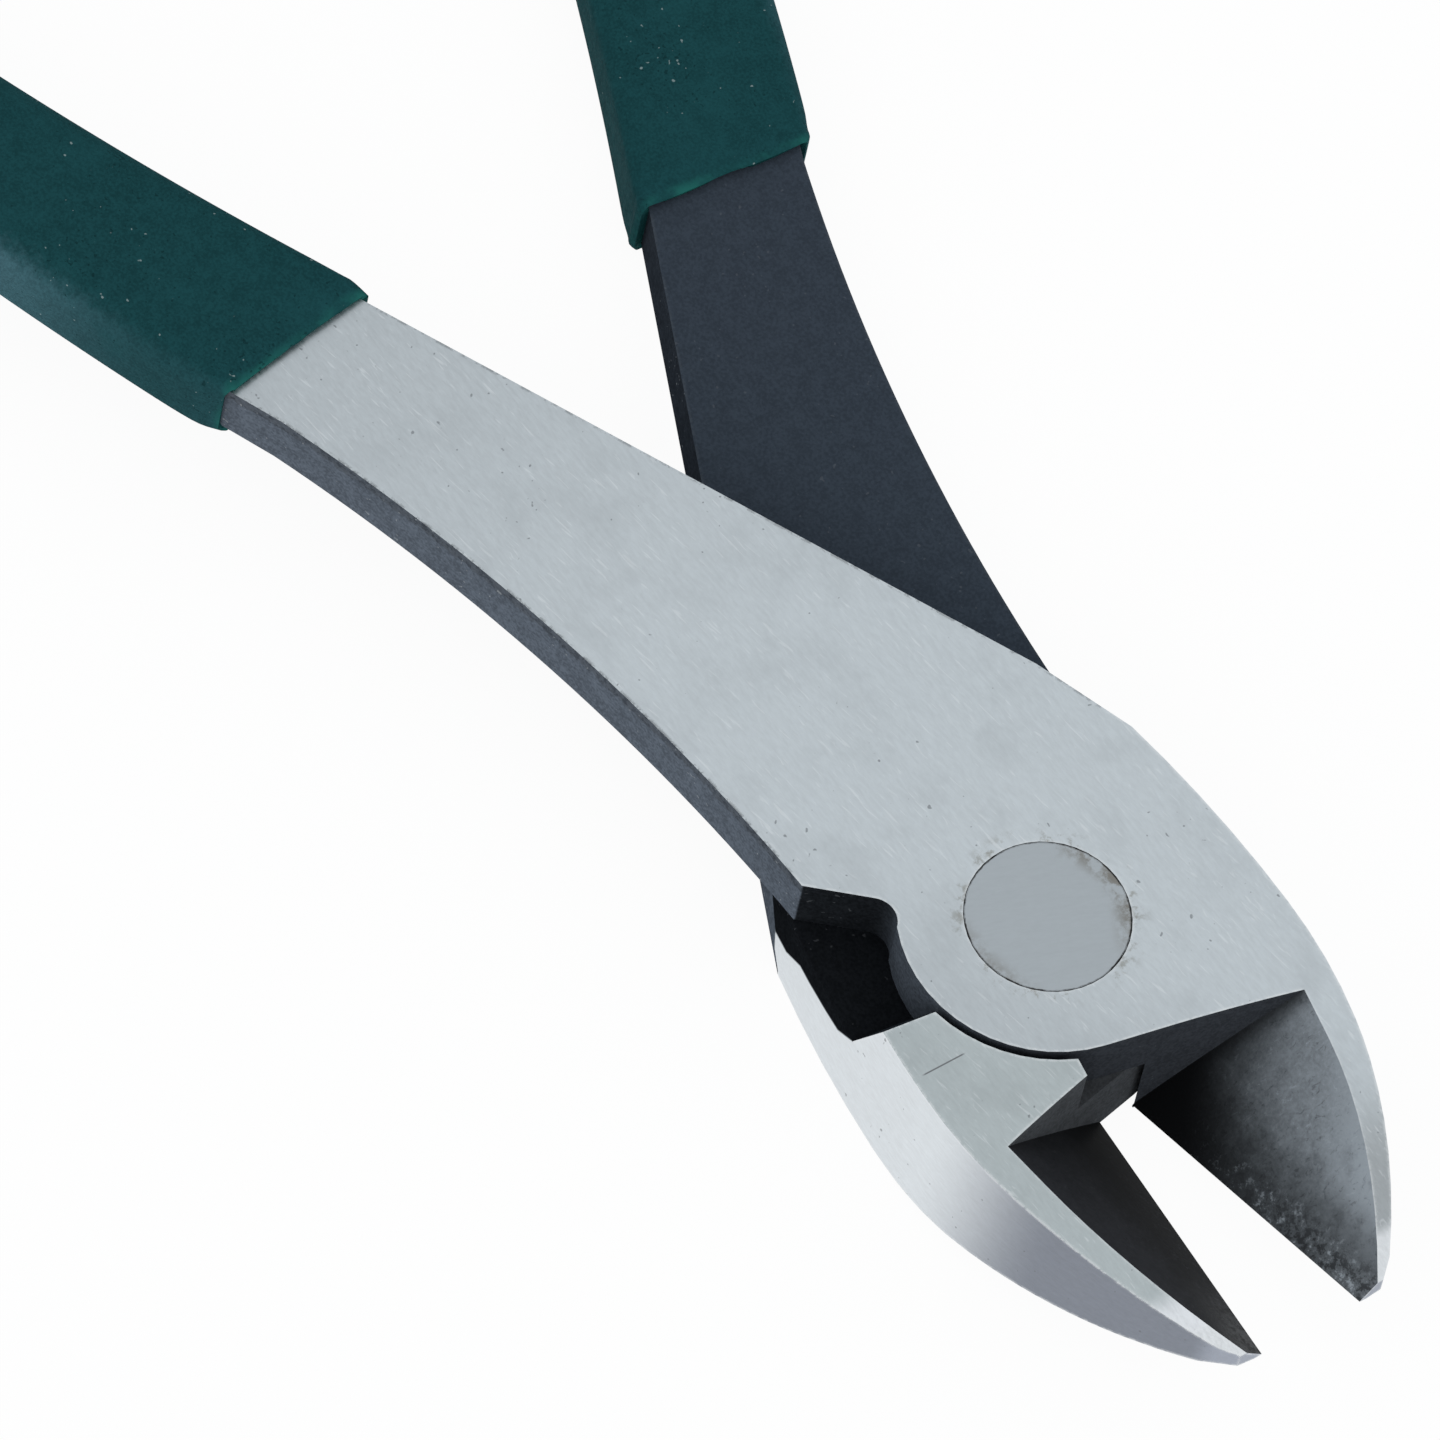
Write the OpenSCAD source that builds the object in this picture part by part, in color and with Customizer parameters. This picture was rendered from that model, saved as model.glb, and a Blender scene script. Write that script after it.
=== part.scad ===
// Diagonal cutting pliers: two forged halves lapped on a flush rivet, with dipped grips.
// Origin on the rivet axis, in the plane of the back face. +X runs to the jaw tips, +Z to the front.
// Each half is drawn closed, with its jaw on +Y and its cutting edge along +X, then swung open.

/* [Joint] */
// Thickness of the handles, and of the front half where the two lap
plate_t = 4.43; // [3.6:0.01:6]
// Height by which the back of the head stands proud of the back handle
head_proud = 1.1; // [0.6:0.1:1.8]
// Distance from the rivet axis at which the back handle steps down to its own thickness
relief_x = 16; // [14:0.5:22]
// Gap between the two lapped faces
lap_gap = 0.06; // [0.02:0.01:0.2]
// Radius of the round hub about the rivet
hub_r = 9.6; // [9:0.1:9.8]
// Gap between a hub and the shoulder that turns round it
shoulder_gap = 0.55; // [0.3:0.05:0.8]
// Distance of the shoulder's rear step from the rivet axis, on the outer face
step_x = 3.3; // [2:0.1:5]
// Lean of the shoulder's rear step
step_lean = 25; // [5:1:35]
// Angle between the cutting edges in the drawn pose
opening = 13.6; // [10:0.1:16]

/* [Rivet] */
// Diameter of the flush rivet head
rivet_head_d = 10.6; // [9.5:0.1:12]
// Diameter of the rivet shank
rivet_shank_d = 8.4; // [6:0.1:9]
// Depth of each countersunk head
rivet_head_h = 1.4; // [0.8:0.1:1.8]
// Running clearance round the rivet
rivet_fit = 0.05; // [0.02:0.01:0.1]

/* [Jaws] */
// Reach of the cutting edges from the rivet axis
jaw_reach = 31; // [28:0.1:32]
// Start of the cutting edges, measured from the rivet axis
edge_heel = 10.2; // [9.9:0.1:11]
// Climb of the cutting edges from the back face to the nose
edge_pitch = 14.7; // [10:0.1:17]
// Slope of the hollow behind each cutting edge
bevel_angle = 41.7; // [37:0.1:46]
// Width of the small bevel on the back of each cutting edge
back_bevel_w = 0.5; // [0.4:0.1:1.5]
// Height of the small bevel on the back of each cutting edge
back_bevel_h = 0.2; // [0.1:0.05:0.5]
// Radius of the roll where the back of the jaw starts to climb
back_roll_r = 40; // [25:1:60]
// Half of the gap left between the closed edges
edge_land = 0.03; // [0.02:0.01:0.06]
// Place of the throat wall on the cutting line
throat_x = 10.1; // [10:0.1:11]
// Lean of the throat wall, as the tangent of its angle across the jaw
throat_lean = 0.385; // [0.2:0.005:0.5]
// Bow of the throat wall
throat_bow = 0.25; // [0.05:0.05:0.6]
// Width of the flat nose on the back half's shoulder, from the cutting line
nose_land = 2.8; // [2:0.1:4]
// Half width of the head on the front face
flank_w = 13.36; // [12.8:0.01:15]
// Radius of the flank beside the rivet
flank_r = 90; // [70:1:120]
// Radius of the flank along the jaw
jaw_r = 36; // [34:0.5:38]
// Angle at which the flank passes from one radius to the other
flank_turn = 5.55; // [4:0.05:8]
// Draft of the ground flank, wider towards the back
flank_draft = 5.4; // [3:0.1:9]
// Distance at which the front of the nose starts to round down
nose_x = 17; // [15:0.5:20]
// Radius of the rounding down the front of the nose
nose_r = 33; // [28:1:45]
// Slant of the blunt end of the jaw
tip_slant = 2; // [0:1:12]
// Width of the blunt end of the jaw
tip_w = 1.75; // [1:0.05:2.5]
// Turn of the facet that leads from the blunt end to the flank
tip_turn = 36; // [30:1:45]

/* [Handles] */
// Turn of the handles' centre line from the cutting line
cant = 2.2; // [0:0.05:3]
// Distance from the rivet axis at which the handle starts to curve inward
bend_x = 58.2; // [54:0.1:64]
// Offset of the handle's centre line from the tool's axis at that place
bend_y = 9.1; // [8:0.1:10]
// Splay of the handle there
splay = 18; // [15:0.5:20]
// Radius of the inward curve
handle_r = 280; // [240:1:360]
// Length of the handle past the start of the curve
handle_l = 113; // [90:1:125]
// Width of the handle at the start of the curve
bar_w = 10.5; // [9.5:0.1:12]
// Width of the handle past its taper
bar_end_w = 9.6; // [8:0.1:10.5]
// Length of the taper
taper_l = 32; // [20:1:60]
// Depth of the hollow along the handle's outer edge
waist = 1.75; // [0.5:0.05:3]
// Radius of the notch between the hub and the handle
notch_r = 1.6; // [1.2:0.1:1.8]

/* [Grips] */
// Distance of the front grip's edge from the rivet axis
front_dip = 60.1; // [56:0.1:64]
// Distance of the back grip's edge from the rivet axis
back_dip = 57.5; // [56:0.1:64]
// Thickness of the dipped coat
coat = 0.85; // [0.7:0.05:1.8]
// Radius of the grip's long edges
grip_edge_r = 2.4; // [1.5:0.1:3]
// Gap between the coat and the steel
coat_fit = 0.05; // [0.02:0.01:0.1]

/* [Hidden] */
$fn = 96;

lap_z = plate_t + head_proud;
head_t = lap_z + plate_t;
lap_low = lap_z - lap_gap / 2;
lap_high = lap_z + lap_gap / 2;
shoulder_r = hub_r + shoulder_gap;
flank_spread = head_t * tan(flank_draft);

// Corner points of the handle's plan, in the handle's own frame
knee = [-20, 9.55];
heel = [-11.3, -10.65];
notch = [-6.71, -8.84];
hip_slope = 0.345;
rear_flank_slope = 0.278;

// Outer limits of the blank that the jaw is ground from
blank_x = jaw_reach + 4;
blank_y = flank_w + flank_spread + 2;
far = 120;

// Centres of the two flank radii, which share a normal at flank_turn
flank_normal = [sin(flank_turn), cos(flank_turn)];
flank_apex_x = -0.48;
flank_c = [flank_apex_x, flank_w - flank_r];
jaw_c = flank_c + flank_normal * (flank_r - jaw_r);

roll_facets = 3;
grip_steps = 28;
corner_steps = 5;

function unit(v) = v / norm(v);

// Arc from p to q that rises by sag to the left of the chord
function bow(p, q, sag, steps) =
    let (along = unit(q - p), left = [-along[1], along[0]], half = norm(q - p) / 2)
    let (r = (half * half + sag * sag) / (2 * sag), mid = (p + q) / 2 + left * (sag - r), a = asin(half / r))
    [for (i = [0 : steps]) let (t = a * (2 * i / steps - 1)) mid + r * (left * cos(t) + along * sin(t))];

// Handle's curve: splay, place, direction, inward normal and half width at the length s from its start
function splay_at(s) = splay - s / handle_r * 180 / PI;
function spine(s) = [-bend_x, -bend_y]
    - handle_r * [sin(splay) - sin(splay_at(s)), cos(splay_at(s)) - cos(splay)];
function along(s) = [-cos(splay_at(s)), -sin(splay_at(s))];
function inward(s) = [-sin(splay_at(s)), cos(splay_at(s))];
function half_width(s) = (s > taper_l ? bar_end_w : bar_w + (bar_end_w - bar_w) * s / taper_l) / 2;

// One side of the curved part of the handle, and its rounded end
function bar_side(side, grow) = [for (i = [0 : grip_steps])
    let (s = i / grip_steps * (handle_l - half_width(handle_l)))
    spine(s) + side * inward(s) * (half_width(s) + grow)];
function bar_end(grow) = let (w = half_width(handle_l), s = handle_l - w)
    [for (a = [15 : 15 : 165]) spine(s) + (w + grow) * (along(s) * sin(a) + inward(s) * cos(a))];

module handle_outline() {
    crest = [knee[0] + (blank_y - knee[1]) / hip_slope, blank_y];
    inner_side = bar_side(1, 0);
    outer_side = bar_side(-1, 0);
    polygon(concat(
        [[0, 0], crest, knee],
        inner_side,
        bar_end(0),
        [for (i = [len(outer_side) - 1 : -1 : 1]) outer_side[i]],
        bow(outer_side[0], heel, waist, grip_steps),
        [notch]));
}

// Bite between hub and handle where the other half's shoulder swings in
module notch_outline() {
    to_heel = heel - notch;
    lip_angle = atan2(to_heel[1], to_heel[0]) - acos(notch_r / norm(to_heel));
    lip = notch_r * [cos(lip_angle), sin(lip_angle)];
    translate(notch) {
        circle(notch_r);
        polygon([lip, to_heel, to_heel - [0, far], [notch_r, -far], [notch_r, 0]]);
    }
}

// Blank of the jaw, with its lower edge raised to land as far as the throat reaches
module jaw_blank(land) {
    polygon([
        [0, land], [nose_x, land], [nose_x, edge_land],
        [blank_x, edge_land], [blank_x, blank_y], [-2, blank_y]]);
}

module plate_outline(turn) {
    web = acos(hub_r / throat_x);
    difference() {
        union() {
            circle(hub_r);
            polygon([[0, 0], hub_r * [cos(web), -sin(web)], [throat_x, 0], [throat_x, 1], [0, 1]]);
            rotate(turn) handle_outline();
            jaw_blank(edge_land);
        }
        rotate(turn) notch_outline();
    }
}

// Full-depth part of the jaw beside the other half's hub, with its leaning rear step
module shoulder(low, high, outer_z, lean, land) {
    difference() {
        translate([0, 0, low]) linear_extrude(high - low) difference() {
            jaw_blank(land);
            circle(shoulder_r);
        }
        translate([step_x, 0, outer_z]) rotate([0, lean, 0])
            translate([-far, -far / 2, -far / 2]) cube([far, far, far]);
    }
}

// Material outside the ground flank: a flat behind, then two drafted radii
module flank_waste() {
    rear_angle = atan(rear_flank_slope);
    translate([knee[0], knee[1], head_t]) rotate([flank_draft, 0, rear_angle])
        translate([-far / 8, 0, -far / 2]) cube([far / 2, far / 4, far]);
    translate([flank_c[0], flank_c[1], 0]) rotate(-flank_turn) difference() {
        translate([-flank_r / 3, flank_r * 0.8, -1]) cube([flank_r / 3, flank_r, head_t + 2]);
        flank_cone(flank_r);
    }
    translate([jaw_c[0], jaw_c[1], 0]) rotate(-flank_turn) difference() {
        translate([0, 0, -1]) cube([2 * jaw_r, 2 * jaw_r, head_t + 2]);
        flank_cone(jaw_r);
    }
}

module flank_cone(top_r) {
    rise = head_t + 4;
    translate([0, 0, -2])
        cylinder(h = rise, r1 = top_r + (head_t + 2) * tan(flank_draft), r2 = top_r - 2 * tan(flank_draft));
}

// Solid under the sloping hollow, through the cutting edge
module under_bevel() {
    translate([edge_heel, edge_land, back_bevel_h]) rotate([bevel_angle, -edge_pitch, 0])
        translate([-far / 2, -far / 2, -far]) cube(far);
}

// Hollow ground into the front of the jaw, from the throat wall to the nose
module hollow_waste() {
    wall_end = [throat_x + throat_lean * blank_y, blank_y];
    difference() {
        translate([0, 0, -1]) linear_extrude(head_t + 2)
            polygon(concat(
                [[blank_x + 1, blank_y], [blank_x + 1, -1], [throat_x, -1]],
                bow([throat_x, 0], wall_end, throat_bow, grip_steps)));
        under_bevel();
    }
}

// Back of the jaw, which climbs with the edge, and its small back bevel
module back_waste() {
    back_lean = atan(back_bevel_h / back_bevel_w);
    translate([edge_heel, -1, 0]) rotate([0, -edge_pitch, 0])
        translate([0, 0, -far]) cube([far, far, far]);
    translate([edge_heel, edge_land, back_bevel_h]) rotate([-back_lean, -edge_pitch, 0])
        translate([0, -1, -far]) cube([far, far, far]);
}

// Roll where the back starts to climb, in facets, full at the flank and fading out towards the cutting edge
module roll_waste() {
    roll_l = back_roll_r * tan(edge_pitch / 2);
    depth = back_roll_r * (1 / cos(edge_pitch / 2) - 1);
    translate([edge_heel - roll_l, 0, -depth]) rotate([atan(depth / flank_w), 0, 0])
        for (k = [1 : roll_facets]) {
            turn = edge_pitch * k / (roll_facets + 1);
            translate(back_roll_r * [sin(turn), 0, 1 - cos(turn)]) rotate([0, -turn, 0])
                translate([-far / 2, -1, -far]) cube(far);
        }
}

// Rounding down the front of the nose and the blunt end of the jaw
module nose_waste() {
    difference() {
        translate([nose_x, -1, head_t - nose_r]) cube([far, blank_y + 2, nose_r + 1]);
        translate([nose_x, -2, head_t - nose_r]) rotate([-90, 0, 0]) cylinder(h = blank_y + 4, r = nose_r);
    }
    tip_facet([jaw_reach, 0], -tip_slant);
    tip_facet([jaw_reach + tip_w * tan(tip_slant), tip_w], tip_turn);
}

// Upright face through a point of the tip, with all beyond it cut away
module tip_facet(p, turn) {
    translate([p[0], p[1], -1]) rotate(turn) translate([0, -far / 2, 0]) cube([far, far, head_t + 2]);
}

// Back of the back handle, below the head's own back face
module handle_relief() {
    rotate([90, 0, 0]) linear_extrude(2 * far, center = true)
        polygon([
            [-2 * far, -1], [1 - relief_x, -1], [-relief_x - head_proud, head_proud], [-2 * far, head_proud]]);
}

module rivet_solid(grow) {
    head = rivet_head_d / 2 + grow;
    shank = rivet_shank_d / 2 + grow;
    rotate_extrude() polygon([
        [0, 0], [head, 0], [shank, rivet_head_h],
        [shank, head_t - rivet_head_h], [head, head_t], [0, head_t]]);
}

// One forged half, closed, before it is swung open
module forging(front) {
    plate_low = front ? lap_high : 0;
    plate_high = front ? head_t : lap_low;
    difference() {
        union() {
            translate([0, 0, plate_low]) linear_extrude(plate_high - plate_low)
                plate_outline(front ? cant : -cant);
            if (front) shoulder(0, lap_high, 0, -step_lean, edge_land);
            else shoulder(lap_low, head_t, head_t, step_lean, nose_land);
        }
        flank_waste();
        hollow_waste();
        back_waste();
        roll_waste();
        nose_waste();
        if (!front) rotate(-cant) handle_relief();
        rivet_solid(rivet_fit);
    }
}

// Rounded section of a grip round the handle at the length s, each side swung on by turn about its middle
function section(s, turn, mid_z) =
    let (hw = half_width(s) + coat, hh = plate_t / 2 + coat, r = min(grip_edge_r, hw, hh))
    [for (q = [0 : 3], i = [0 : corner_steps])
        let (a = q * 90 + i / corner_steps * 90, sx = (q == 0 || q == 3) ? 1 : -1, sz = q < 2 ? 1 : -1)
        let (across = sx * (hw - r) + r * cos(a), up = sz * (hh - r) + r * sin(a))
        let (p = spine(s) + inward(s) * across * cos(turn) + along(s) * abs(across) * sin(turn))
        [p[0], p[1], mid_z + up]];

// Solid grip: straight-sided to the middle of the handle's round end, then swung round it
module grip_solid(mid_z) {
    lead = 6;
    body_l = handle_l - half_width(handle_l);
    body = [for (i = [0 : grip_steps]) section(-lead + i / grip_steps * (body_l + lead), 0, mid_z)];
    cap = [for (turn = [15 : 15 : 75]) section(body_l, turn, mid_z)];
    last = section(body_l, 86, mid_z);
    rings = concat(body, cap, [last]);
    count = len(rings[0]);
    side = corner_steps + 1;
    end = (len(rings) - 1) * count;
    polyhedron(
        points = [for (ring = rings) each ring],
        faces = concat(
            [[for (i = [0 : count - 1]) i]],
            [for (k = [0 : len(rings) - 2], i = [0 : count - 1])
                let (j = (i + 1) % count, a = k * count, b = a + count)
                each [[a + i, b + i, b + j], [a + i, b + j, a + j]]],
            [for (i = [-side : corner_steps - 1])
                let (a = (i + count) % count, b = (i + 1 + count) % count, far_a = 2 * side - 1 - i)
                [end + b, end + a, end + far_a, end + far_a - 1]]),
        convexity = 4);
}

// Coat over the handle, ending square to the tool's axis at the dip line
module grip(front) {
    low = front ? lap_high : head_proud;
    high = front ? head_t : lap_low;
    rotate(front ? cant : -cant) difference() {
        grip_solid((low + high) / 2);
        translate([front ? -front_dip : -back_dip, -far / 2, -far / 2]) cube(far);
        translate([0, 0, low - coat_fit]) linear_extrude(high - low + 2 * coat_fit)
            polygon(concat(
                [spine(-12) + inward(-12) * (half_width(-12) + coat_fit)],
                bar_side(1, coat_fit),
                bar_end(coat_fit),
                [for (i = [grip_steps : -1 : 0]) bar_side(-1, coat_fit)[i]],
                [spine(-12) - inward(-12) * (half_width(-12) + coat_fit)]));
    }
}

module swing_front() rotate(opening / 2) children();
module swing_back() rotate(-opening / 2) mirror([0, 1, 0]) children();

module front_half() color([0.72, 0.74, 0.76]) swing_front() forging(true);
module back_half() color([0.34, 0.36, 0.39]) swing_back() forging(false);
module pivot_rivet() color([0.63, 0.66, 0.68]) rivet_solid(0);
module front_grip() color([0.10, 0.27, 0.27]) swing_front() grip(true);
module back_grip() color([0.10, 0.27, 0.27]) swing_back() grip(false);

front_half();
back_half();
pivot_rivet();
front_grip();
back_grip();
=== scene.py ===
"""Diagonal cutting pliers in a plain white studio.

Finishes for the two steel halves and the rivet, two dipped grips, and the floor, the light and the camera.
"""
import math

import bpy
from mathutils import Matrix, Vector


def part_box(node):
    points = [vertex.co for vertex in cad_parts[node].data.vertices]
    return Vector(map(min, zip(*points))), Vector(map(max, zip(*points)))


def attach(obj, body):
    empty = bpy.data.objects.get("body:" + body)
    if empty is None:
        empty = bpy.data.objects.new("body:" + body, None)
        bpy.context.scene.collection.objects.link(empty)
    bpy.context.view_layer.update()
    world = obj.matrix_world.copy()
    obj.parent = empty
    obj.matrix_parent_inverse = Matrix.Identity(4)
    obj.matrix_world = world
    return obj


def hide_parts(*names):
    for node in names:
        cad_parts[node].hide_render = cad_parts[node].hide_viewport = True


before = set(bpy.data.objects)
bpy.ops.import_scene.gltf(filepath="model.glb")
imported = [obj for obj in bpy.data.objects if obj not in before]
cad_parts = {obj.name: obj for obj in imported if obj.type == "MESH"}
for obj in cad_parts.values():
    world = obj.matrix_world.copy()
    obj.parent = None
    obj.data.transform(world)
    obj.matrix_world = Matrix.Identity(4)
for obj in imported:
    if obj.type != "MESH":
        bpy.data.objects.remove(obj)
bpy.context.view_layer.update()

bl_info = {
    "name": "Diagonal Cutting Pliers",
    "version": (1, 0, 0),
    "blender": (4, 5, 0),
    "location": "View3D > Sidebar > Pliers",
    "description": "Finishes the steel halves and the rivet, models the dipped grips and sets the studio",
    "category": "Object",
}

MM = 0.001

# Levels and sizes that the solids give
HEAD_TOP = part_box("front_half")[1].z
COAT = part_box("front_grip")[1].z - HEAD_TOP
LAP_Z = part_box("front_grip")[0].z + COAT
RIVET_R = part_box("pivot_rivet")[1].x

# Places along the tool, from the rivet's axis: the rear end of the joint, and where the noses round down
HEEL_X = -9.45 * MM
TIP_X = 27.5 * MM

# Lean of a face that counts as level, as the upright part of its normal
LEVEL_FACE = (0.84, 0.88)

# Straight lines up to which a flank is ground behind the rivet: a place along the tool, the height there and
# the slope
FLANK_TOP = (-2.0 * MM, 4.4 * MM, 0.125)
FLANK_REAR = (-7.7 * MM, 3.45 * MM, 0.62)
FLANK_FOOT = (-10.96 * MM, 1.42 * MM, -0.54)
FLANK_FRONT = (-0.42 * MM, 5.5 * MM, 0.7)

# Cutting edge: its heel, its run to the tip, and the rise of the hollow from it
EDGE_HEEL = Vector((10.12, 1.24, 0.2)) * MM
EDGE_RUN = Vector((0.9606, 0.1144, 0.2539))
EDGE_RISE = Vector((-0.256, 0.7213, 0.6436))

# Ways across a hollow, each with its start: towards the nose, and out of the crease at its rear wall
NOSE_WAY = (0.803, 1.247, 0.0)
NOSE_START = 9.67 * MM
CREASE_WAY = (0.982, -0.188, -0.029)
CREASE_START = 9.7 * MM

# Side of the hub that is dirtier, the sides of the rivet that are stained, and the turns of the fine lines
HUB_SIDE = (0.6, -0.8, 0.0)
STAIN_SIDE = (0.0, 1.0, 0.0)
FAINT_STAIN_SIDE = (0.2, -1.0, 0.0)
SCRATCH_TURN = math.radians(-6.0)
RIVET_GRAIN = math.radians(70.0)

# Plan of the handles, in the frame of each handle
BEND = Vector((-58.2, -9.1, 0.0)) * MM
SPLAY = math.radians(18.0)
HANDLE_R = 280.0 * MM
HANDLE_L = 113.0 * MM
BAR_W = 10.5 * MM
BAR_END_W = 9.6 * MM
TAPER_L = 32.0 * MM
FRONT_TURN = math.radians(9.0)
BACK_TURN = math.radians(-4.6)
FRONT_DIP = 60.1 * MM
BACK_DIP = 57.5 * MM
GRIP_LEAD = 6.0 * MM

# Fineness of the grips' meshes, and distances below which places are the same
EDGE_STEPS = 6
FACE_CUTS = 7
END_STEPS = 16
BODY_STEPS = 40
TAPER_STEPS = 20
SAME = 0.001 * MM
MERGE = 0.01 * MM

# Cuts at the lip: how far behind it, and the share of the thinning there
LIP_CUTS = ((1.6 * MM, 0.12), (0.8 * MM, 0.4), (0.0, 1.0))
RIPPLE_SIZE = 1.2 * MM
RIPPLE_SWING = 4

# Camera: its right and up in the photograph's direction, the point in the middle of the picture, and a long
# lens far away, so that the view hardly narrows with depth
CAMERA_RIGHT = Vector((0.54430, 0.83073, 0.11676))
CAMERA_UP = Vector((-0.76186, 0.43124, 0.48335))
CAMERA_AIM = Vector((-20.514, -11.727, 13.505)) * MM
CAMERA_DISTANCE = 1.5
CAMERA_LENS = 600.0
CAMERA_SENSOR = 36.0
CAMERA_CLIP = (0.05, 20.0)

# Large lamp beside the tips, the floor and the tint of the room's light
LAMP_PLACE = Vector((1.25, -1.1, 0.95))
LAMP_WIDTH = 2.4
LAMP_HEIGHT = 1.5
FLOOR_DROP = 0.05 * MM
FLOOR_GREY = (0.9, 0.9, 0.9)
ROOM_TINT = (0.96, 0.985, 1.0)

# Colours of wear and dirt on the steel, of painted highlights along its edges, and of dust on the grips
STREAK = (0.80, 0.83, 0.85)
EDGE_HIGHLIGHT_AND_WEAR = (0.82, 0.84, 0.85)
BRIGHT_FACET = (0.76, 0.78, 0.80)
WALL_CHIP = (0.30, 0.32, 0.34)
LAP_CHIP = (0.25, 0.26, 0.28)
LAP_EDGE_HIGHLIGHT = (0.10, 0.11, 0.12)
WORN_EDGE = (0.11, 0.112, 0.115)
BITTEN_EDGE = (0.07, 0.075, 0.082)
BROW = (0.030, 0.033, 0.037)
PIT = (0.14, 0.15, 0.16)
SCRATCH = (0.12, 0.12, 0.13)
GRIME = (0.27, 0.265, 0.235)
STAIN = (0.17, 0.15, 0.12)
RIVET_LINE = (0.04, 0.04, 0.04)
DUST = (0.32, 0.40, 0.40)

# What differs between the halves: dirt round the hub; the stretch where the ground face takes on the nose's
# colour; the hollow's darkest colour, the stretch over which its painted shade fades out, its painted light
# at the nose, the shade in its crease, the wear along its edge at the nose and its polish; the ends of each
# scratch on the ground face
FRONT_FINISH = {
    "dirt": 0.85, "nose": (19.0 * MM, 25.0 * MM),
    "dark": (0.011, 0.0115, 0.0125), "lit": (4.0 * MM, 15.0 * MM), "nose_light": 1.6, "crease": 0.7, "wear": 0.1,
    "polish": 0.6, "scratches": ()}
BACK_FINISH = {
    "dirt": 0.0, "nose": (24.8 * MM, 26.8 * MM),
    "dark": (0.0115, 0.012, 0.0125), "lit": (-4.0 * MM, 21.0 * MM), "nose_light": 1.0, "crease": 0.2, "wear": 0.85,
    "polish": 0.2, "scratches": ((Vector((5.5, -13.2, 0.0)) * MM, Vector((5.5, -9.8, 0.0)) * MM),)}


class SteelSettings(bpy.types.PropertyGroup):
    """Finish of the two halves and the rivet"""

    front_ground: bpy.props.FloatVectorProperty(
        name="Front ground faces", description="Colour of the front half's ground faces",
        subtype="COLOR", size=3, min=0.0, max=1.0, default=(0.57, 0.615, 0.645))
    back_ground: bpy.props.FloatVectorProperty(
        name="Back ground faces", description="Colour of the back half's ground faces",
        subtype="COLOR", size=3, min=0.0, max=1.0, default=(0.4725, 0.520, 0.532))
    front_nose: bpy.props.FloatVectorProperty(
        name="Front nose", description="Colour of the front half's nose, rounded down to the tip",
        subtype="COLOR", size=3, min=0.0, max=1.0, default=(0.395, 0.42, 0.435))
    back_nose: bpy.props.FloatVectorProperty(
        name="Back nose", description="Colour of the back half's nose, rounded down to the tip",
        subtype="COLOR", size=3, min=0.0, max=1.0, default=(0.78, 0.80, 0.83))
    rivet: bpy.props.FloatVectorProperty(
        name="Rivet", description="Colour of the rivet's ends",
        subtype="COLOR", size=3, min=0.0, max=1.0, default=(0.425, 0.462, 0.49))
    flank: bpy.props.FloatVectorProperty(
        name="Flanks", description="Colour of the ground flanks beside the rivet",
        subtype="COLOR", size=3, min=0.0, max=1.0, default=(0.725, 0.765, 0.795))
    # Painted reflection: the flanks' darker tone towards the tip stands in for their dimmer reflection there
    painted_flank_shade: bpy.props.FloatVectorProperty(
        name="Painted shade on the flanks", description="Colour of the flanks along the hardened edges",
        subtype="COLOR", size=3, min=0.0, max=1.0, default=(0.236, 0.257, 0.300))
    front_hollow: bpy.props.FloatVectorProperty(
        name="Front hollow", description="Colour of the front half's hollow at the nose",
        subtype="COLOR", size=3, min=0.0, max=1.0, default=(0.214, 0.238, 0.262))
    back_hollow: bpy.props.FloatVectorProperty(
        name="Back hollow", description="Colour of the back half's hollow at the nose",
        subtype="COLOR", size=3, min=0.0, max=1.0, default=(0.030, 0.0315, 0.036))
    # Joint colour: blackened steel, also used as painted shade on the recessed faces inside the joint
    soot_and_shade: bpy.props.FloatVectorProperty(
        name="Joint", description="Colour of the blackened steel inside the joint",
        subtype="COLOR", size=3, min=0.0, max=1.0, default=(0.012, 0.0138, 0.0165))
    front_throat: bpy.props.FloatVectorProperty(
        name="Front throat", description="Colour of the wall behind the front half's cutting edge",
        subtype="COLOR", size=3, min=0.0, max=1.0, default=(0.0385, 0.043, 0.051))
    back_throat: bpy.props.FloatVectorProperty(
        name="Back throat", description="Colour of the wall behind the back half's cutting edge",
        subtype="COLOR", size=3, min=0.0, max=1.0, default=(0.074, 0.079, 0.086))
    front_wall: bpy.props.FloatVectorProperty(
        name="Front walls", description="Colour of the front half's walls left from the forging",
        subtype="COLOR", size=3, min=0.0, max=1.0, default=(0.098, 0.116, 0.143))
    back_wall: bpy.props.FloatVectorProperty(
        name="Back walls", description="Colour of the back half's walls left from the forging",
        subtype="COLOR", size=3, min=0.0, max=1.0, default=(0.026, 0.032, 0.041))
    lap: bpy.props.FloatVectorProperty(
        name="Lap faces", description="Colour of the blackened faces where the halves lap",
        subtype="COLOR", size=3, min=0.0, max=1.0, default=(0.0345, 0.045, 0.060))
    grain_angle: bpy.props.FloatProperty(
        name="Grinding direction", description="Direction of the grinding lines, from the length of the tool",
        subtype="ANGLE", unit="ROTATION", default=math.radians(5.0))


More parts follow.
